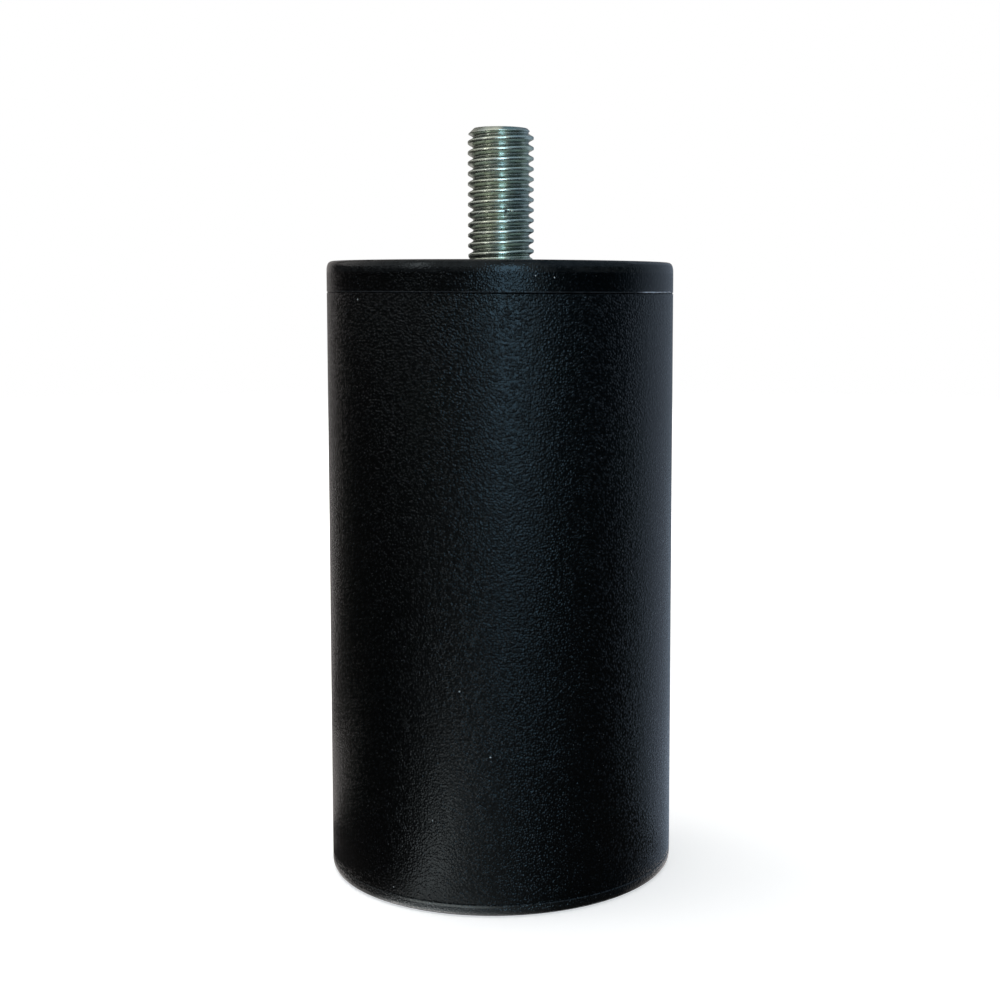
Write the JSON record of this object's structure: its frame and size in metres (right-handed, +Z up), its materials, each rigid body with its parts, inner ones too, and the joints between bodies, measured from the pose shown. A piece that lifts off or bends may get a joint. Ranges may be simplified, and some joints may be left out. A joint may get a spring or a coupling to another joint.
{
  "type": "furniture leg",
  "caption": "Short cylindrical furniture leg: a black textured tube closed by a flush top cap and a thin foot cap, with a zinc-plated threaded stud standing on its top face.",
  "frame": {"origin": "centre of the foot cap's lower face, on the floor", "axes": "+Z up along the leg's axis, towards the threaded stud; X and Y are free, because the leg is round"},
  "size_m": [0.051, 0.051, 0.1095],
  "materials": {
    "tube_coating": "black textured powder coat, satin",
    "top_cap_plastic": "black moulded plastic, fine grain",
    "foot_cap_plastic": "black moulded plastic, fine grain",
    "zinc_plating": "bright zinc plating on steel"
  },
  "bodies": {
    "root": {"leg_tube": "tube_coating", "top_cap": "top_cap_plastic", "base_cap": "foot_cap_plastic", "stud_bolt": "zinc_plating"}
  },
  "joints": []
}
